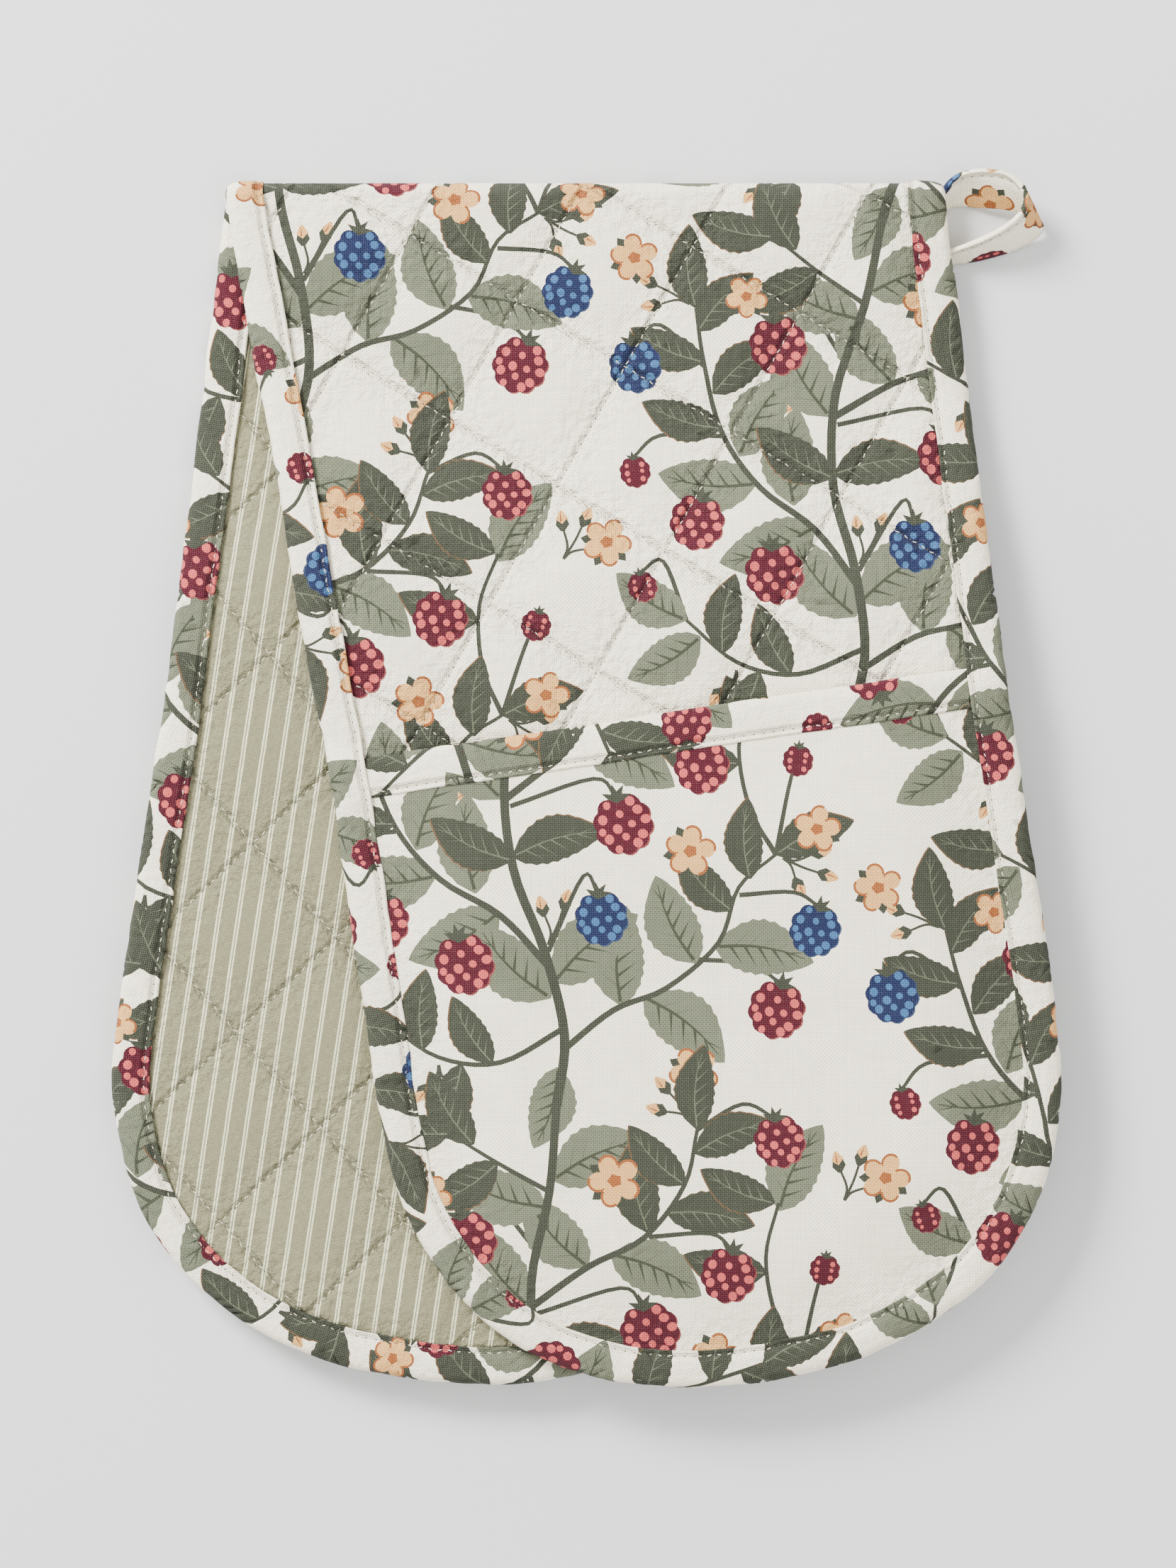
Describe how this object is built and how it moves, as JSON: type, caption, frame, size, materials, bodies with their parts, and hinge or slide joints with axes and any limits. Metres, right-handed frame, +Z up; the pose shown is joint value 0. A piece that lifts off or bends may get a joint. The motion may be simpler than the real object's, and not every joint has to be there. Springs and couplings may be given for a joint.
{
  "type": "oven mitt",
  "caption": "Double-ended quilted oven mitt, folded flat at its middle, with a hand pocket at each end, bound edges and a hanging loop at the fold.",
  "frame": {"origin": "on the resting face, on the strip's centre line, 3 mm in front of where the cloth starts to bend over the fold", "axes": "+X along the fold towards the hanging loop, +Y square to the fold and away from the pockets, +Z up from the surface that it lies on"},
  "size_m": [0.2476, 0.3152, 0.0216],
  "materials": {
    "printed_cloth": "plain-weave cotton canvas, off-white with a printed pattern of berries, leaves and flowers",
    "binding_tape": "the same printed cotton, cut as tape and folded over the edges",
    "lining_cloth": "plain-weave cotton, sage with fine double white stripes",
    "wadding": "white polyester and cotton felt",
    "sewing_thread": "off-white twisted polyester thread"
  },
  "bodies": {
    "back_half": {"cover_back": "printed_cloth", "wadding_back": "wadding", "lining_back": "lining_cloth", "quilting_thread_back": "sewing_thread", "pocket_panel_back": "printed_cloth", "pocket_lining_back": "lining_cloth", "mouth_binding_back": "binding_tape", "mouth_stitching_back": "sewing_thread", "edge_binding_back": "binding_tape", "edge_stitching_back": "sewing_thread", "loop_ends": "binding_tape"},
    "fold": {"cover_fold": "printed_cloth", "wadding_fold": "wadding", "lining_fold": "lining_cloth", "edge_binding_fold_left": "binding_tape", "edge_binding_fold_right": "binding_tape"},
    "front_half": {"cover_front": "printed_cloth", "wadding_front": "wadding", "lining_front": "lining_cloth", "quilting_thread_front": "sewing_thread", "pocket_panel_front": "printed_cloth", "pocket_lining_front": "lining_cloth", "mouth_binding_front": "binding_tape", "mouth_stitching_front": "sewing_thread", "edge_binding_front": "binding_tape", "edge_stitching_front": "sewing_thread"},
    "loop": {"hanging_loop": "binding_tape", "loop_stitching": "sewing_thread"}
  },
  "joints": [
    {"name": "fold_lower", "type": "hinge", "parent": "back_half", "child": "fold", "pos_m": [0, 0.0053, 0.002], "axis": [-1, 0, 0], "range_deg": [0, 86]},
    {"name": "fold_upper", "type": "hinge", "parent": "fold", "child": "front_half", "pos_m": [0, 0.0053, 0.0066], "axis": [-1, 0, 0], "range_deg": [0, 86]},
    {"name": "loop_swing", "type": "hinge", "parent": "back_half", "child": "loop", "pos_m": [0.09904, -0.0064, 0.0036], "axis": [0, -1, 0], "range_deg": [0, 60]}
  ],
  "couplings": [
    {"joint": "fold_upper", "follows": "fold_lower", "ratio": 1}
  ]
}
